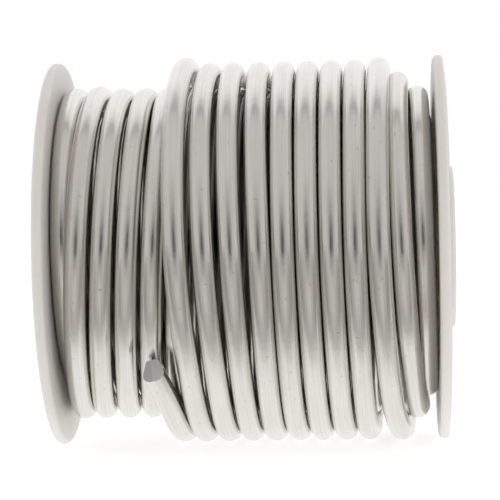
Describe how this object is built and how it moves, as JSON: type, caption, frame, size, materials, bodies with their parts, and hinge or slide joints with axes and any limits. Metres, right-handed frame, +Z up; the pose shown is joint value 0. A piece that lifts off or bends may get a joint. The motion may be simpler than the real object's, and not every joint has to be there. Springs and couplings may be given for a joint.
{
  "type": "solder wire spool",
  "caption": "Flanged plastic spool with a hollow hub, wound in layers with heavy solid solder wire whose free end can be bent out.",
  "frame": {"origin": "middle of the bore, on the spool's axis, halfway between the flanges", "axes": "+X along the spool's axis towards the flange where the wire starts, +Z up with the spool lying on its rims, front at -Y where the free end is"},
  "size_m": [0.0604, 0.057, 0.057],
  "materials": {
    "moulded_plastic": "satin off-white moulding",
    "label_paper": "plain coated label",
    "solder_wire": "bright drawn tin alloy"
  },
  "bodies": {
    "spool": {"left_flange": "moulded_plastic", "right_flange": "moulded_plastic", "core_tube": "moulded_plastic", "left_label": "label_paper", "right_label": "label_paper", "wire_start": "solder_wire", "wire_layer_1": "solder_wire", "wire_layer_2": "solder_wire", "wire_layer_3": "solder_wire", "wire_layer_4": "solder_wire", "wire_layer_5": "solder_wire"},
    "wire_tip": {"wire_free_end": "solder_wire"}
  },
  "joints": [
    {"name": "free_end_bend", "type": "hinge", "parent": "spool", "child": "wire_tip", "pos_m": [-0.01015, -0.00688, -0.02569], "axis": [1, 0, 0], "range_deg": [0, 35]}
  ]
}
